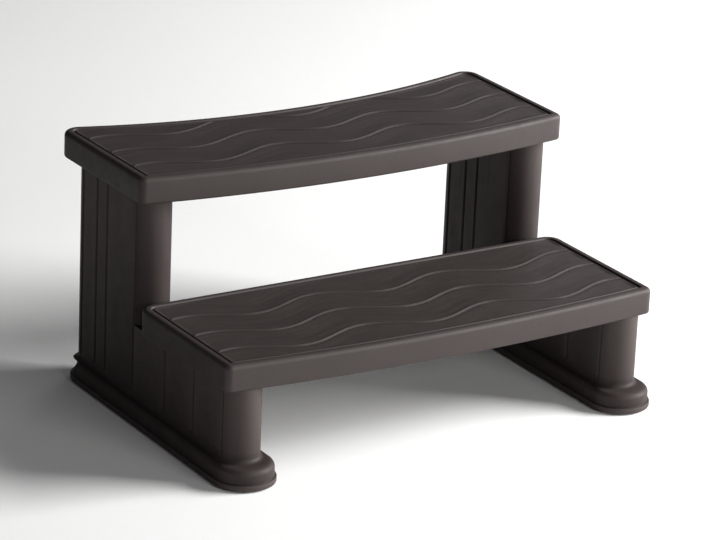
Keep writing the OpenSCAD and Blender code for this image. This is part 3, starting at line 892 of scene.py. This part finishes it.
# in millimetres; the lens is longer than the photographed view's, so that the steps fill the picture
CAMERA_LENS, SENSOR_WIDTH = 183, 36
CAMERA_REACH = 100

FLOOR_REACH = 30
WORLD_COLOUR, WORLD_STRENGTH = (0.93, 0.94, 0.96, 1), 0.09


def direction(azimuth, elevation):
    """From the object towards a point round it; azimuth 0 is the front and 90 the right."""
    a, e = math.radians(azimuth), math.radians(elevation)
    return Vector((math.sin(a) * math.cos(e), -math.cos(a) * math.cos(e), math.sin(e)))


def add_camera(centre):
    data = bpy.data.cameras.new("camera")
    data.lens = CAMERA_LENS
    data.sensor_width = SENSOR_WIDTH
    data.clip_end = CAMERA_REACH
    camera = bpy.data.objects.new("camera", data)
    back = direction(CAMERA_AZIMUTH, CAMERA_ELEVATION)
    look = (-back).to_track_quat("-Z", "Y").to_matrix() @ Matrix.Rotation(math.radians(CAMERA_LEAN), 3, "Z")
    camera.matrix_world = Matrix.Translation(centre + back * CAMERA_DISTANCE) @ look.to_4x4()
    bpy.context.scene.collection.objects.link(camera)
    bpy.context.scene.camera = camera


def add_softbox(name, target, azimuth, elevation, distance, size, watts):
    """A rectangular light that looks at target from a direction and a distance."""
    data = bpy.data.lights.new(name, "AREA")
    data.shape = "RECTANGLE"
    data.size, data.size_y = size
    data.energy = watts
    light = bpy.data.objects.new(name, data)
    away = direction(azimuth, elevation)
    look = (-away).to_track_quat("-Z", "Y").to_matrix().to_4x4()
    light.matrix_world = Matrix.Translation(target + away * distance) @ look
    bpy.context.scene.collection.objects.link(light)


def add_studio(centre):
    """Plain pale floor and surroundings, a large softbox from the right, weak ones in front and behind."""
    n = Nodes("pale_floor")
    n.colour(n.mix(n.noise(scale=1.5, detail=3), FLOOR_DARK, FLOOR_LIGHT))
    n.roughness(n.remap(n.noise(scale=40, detail=3), MIDDLE, (0.7, 0.85)))
    corners = [(x * FLOOR_REACH, y * FLOOR_REACH, 0) for x, y in ((-1, -1), (1, -1), (1, 1), (-1, 1))]
    floor = make_object("floor", corners, [(0, 1, 2, 3)])
    set_material(floor, n.material)
    world = bpy.data.worlds.new("studio")
    world.use_nodes = True
    world.node_tree.nodes["Background"].inputs["Color"].default_value = WORLD_COLOUR
    world.node_tree.nodes["Background"].inputs["Strength"].default_value = WORLD_STRENGTH
    bpy.context.scene.world = world
    right_end = centre + Vector((cad_high.x, 0, 0))
    add_softbox("key", centre, azimuth=64, elevation=22, distance=6.0, size=(3.2, 3.2), watts=1000)
    add_softbox("front", centre, azimuth=6, elevation=16, distance=6.0, size=(3.2, 2.4), watts=150)
    add_softbox("back", right_end, azimuth=134, elevation=28, distance=3.4, size=(1.4, 0.9), watts=8)
    bpy.context.scene.view_settings.view_transform = "Standard"


# ---- making it ----

lower = Tread("lower_tread", LOWER_BOW, LOWER_HOLLOW, LOWER_DEPTH)
upper = Tread("upper_tread", UPPER_BOW, UPPER_HOLLOW, UPPER_DEPTH)
tread_finish = espresso_plastic("espresso_tread", streaked=True, specular=0.24)
panel_finish = espresso_plastic("espresso_panel", streaked=False, specular=0.13)

made = []
for tread, tenon, screws in ((lower, LOWER_TENON, LOWER_SCREWS), (upper, UPPER_TENON, UPPER_SCREWS)):
    made.append((build_tread(tread, tenon, screws), tread.node, "tread_plastic", tread_finish))
for side, inner in (("left", 1), ("right", -1)):
    node = side + "_side_panel"
    made.append((build_panel(node + "_skin", node, inner), node, "panel_plastic", panel_finish))
for piece, node, slot, finish in made:
    set_material(piece, finish)
    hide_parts(node)
    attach(piece, "root")

finishes = {
    "steel": steel(),
    "brass": brass(),
    "plug_rubber": rubber("plug_rubber", grain_size=0.5 * MM),
    "pad_rubber": rubber("pad_rubber", grain_size=0.8 * MM),
}
slots = {part["node"]: part["material_slot"] for part in frame["record"]["subparts"]}
for node, piece in frame["nodes"].items():
    if slots[node] in finishes:
        set_material(piece, finishes[slots[node]])

centre = (cad_low + cad_high) / 2
add_camera(centre)
add_studio(centre)
